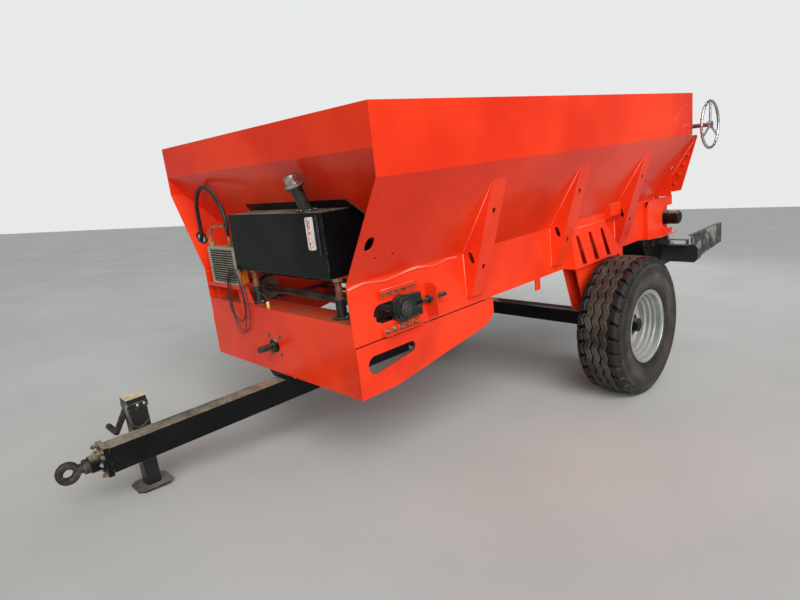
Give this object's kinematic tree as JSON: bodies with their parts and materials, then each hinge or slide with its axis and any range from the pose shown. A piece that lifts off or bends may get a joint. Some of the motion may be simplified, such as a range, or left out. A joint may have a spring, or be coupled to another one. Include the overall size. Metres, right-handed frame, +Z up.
{
  "type": "manure spreader",
  "caption": "Towed twin-disc manure spreader: V-shaped steel hopper with side ribs, floor conveyor, lifting rear gate, two wheels, drawbar with swivel eye and jack",
  "frame": {"origin": "middle of the footprint box on the ground", "axes": "+X forward towards the tow eye, +Y to the machine's left, +Z up"},
  "size_m": [4.9534, 2.21, 2.0459],
  "materials": {
    "red_paint": "gloss",
    "machined_steel": "satin",
    "handwheel_chrome": "polished",
    "chain_steel": "worn",
    "green_iron": "satin",
    "black_paint": "gloss",
    "tyre_rubber": "matte",
    "rim_paint": "satin",
    "hub_paint": "satin",
    "bare_steel": "matte",
    "gauge_plastic": "gloss",
    "cooler_aluminium": "satin",
    "orange_plastic": "matte",
    "brass_pipe": "satin",
    "hose_rubber": "matte",
    "plug_plastic": "matte",
    "disc_steel": "brushed"
  },
  "bodies": {
    "machine": {"hopper_side_left": "red_paint", "hopper_side_right": "red_paint", "hopper_front": "red_paint", "hopper_rear": "red_paint", "hopper_floor": "red_paint", "ribs_left": "red_paint", "ribs_right": "red_paint", "front_apron": "red_paint", "chassis_side_left": "red_paint", "chassis_side_right": "red_paint", "cross_members": "red_paint", "rear_frame": "red_paint", "conveyor": "chain_steel", "front_roller": "machined_steel", "rear_roller": "machined_steel", "take_ups": "green_iron", "drive_motor": "black_paint", "drive_bearing": "green_iron", "axle_beam": "black_paint", "drawbar": "black_paint", "eye_housing": "black_paint", "jack_tube": "black_paint", "jack_crank": "bare_steel", "oil_tank": "black_paint", "filler": "black_paint", "level_gauge": "gauge_plastic", "tank_posts": "black_paint", "oil_cooler": "cooler_aluminium", "cooler_shroud": "orange_plastic", "cooler_stand": "red_paint", "cooler_pipes": "brass_pipe", "hose_loop": "hose_rubber", "cable_hank": "hose_rubber", "cable_lead": "hose_rubber", "cable_plug": "plug_plastic", "pto_housing": "black_paint", "spinner_deck": "black_paint", "spinner_guards": "black_paint"},
    "wheel_left": {"tyre_left": "tyre_rubber", "rim_left": "rim_paint", "hub_left": "hub_paint"},
    "wheel_right": {"tyre_right": "tyre_rubber", "rim_right": "rim_paint", "hub_right": "hub_paint"},
    "spinner_left": {"disc_left": "disc_steel"},
    "spinner_right": {"disc_right": "disc_steel"},
    "drive_shaft": {"pto_stub": "bare_steel"},
    "tow_ring": {"tow_eye": "bare_steel"},
    "gate_plate": {"gate": "red_paint"},
    "gate_drive": {"gate_shaft": "machined_steel", "handwheel": "handwheel_chrome"},
    "jack_foot": {"jack_leg": "black_paint"}
  },
  "joints": [
    {"name": "wheel_left_turn", "type": "hinge", "parent": "machine", "child": "wheel_left", "pos_m": [-0.80551, 0.9475, 0.467], "axis": [0, 1, 0], "continuous": true},
    {"name": "wheel_right_turn", "type": "hinge", "parent": "machine", "child": "wheel_right", "pos_m": [-0.80551, -0.9475, 0.467], "axis": [0, 1, 0], "continuous": true},
    {"name": "spinner_left_turn", "type": "hinge", "parent": "machine", "child": "spinner_left", "pos_m": [-2.13725, 0.35, 0.89332], "axis": [0.108, 0, 0.9942], "continuous": true},
    {"name": "spinner_right_turn", "type": "hinge", "parent": "machine", "child": "spinner_right", "pos_m": [-2.13725, -0.35, 0.89332], "axis": [0.108, 0, 0.9942], "continuous": true},
    {"name": "drive_shaft_turn", "type": "hinge", "parent": "machine", "child": "drive_shaft", "pos_m": [1.39014, 0, 0.58557], "axis": [0.9942, 0, -0.108], "continuous": true},
    {"name": "tow_ring_turn", "type": "hinge", "parent": "machine", "child": "tow_ring", "pos_m": [2.34714, 0, 0.22812], "axis": [0.9942, 0, -0.108], "continuous": true},
    {"name": "gate_slide", "type": "slide", "parent": "machine", "child": "gate_plate", "axis": [0.108, 0, 0.9942], "range_m": [0, 0.3]},
    {"name": "handwheel_turn", "type": "hinge", "parent": "machine", "child": "gate_drive", "pos_m": [-1.7095, 1.087, 1.82155], "axis": [0, -1, 0], "range_deg": [-1, 494]},
    {"name": "jack_slide", "type": "slide", "parent": "machine", "child": "jack_foot", "axis": [0.108, 0, 0.9942], "range_m": [0, 0.16]}
  ],
  "couplings": [
    {"joint": "handwheel_turn", "follows": "gate_slide", "rad_per_m": 28.571}
  ]
}
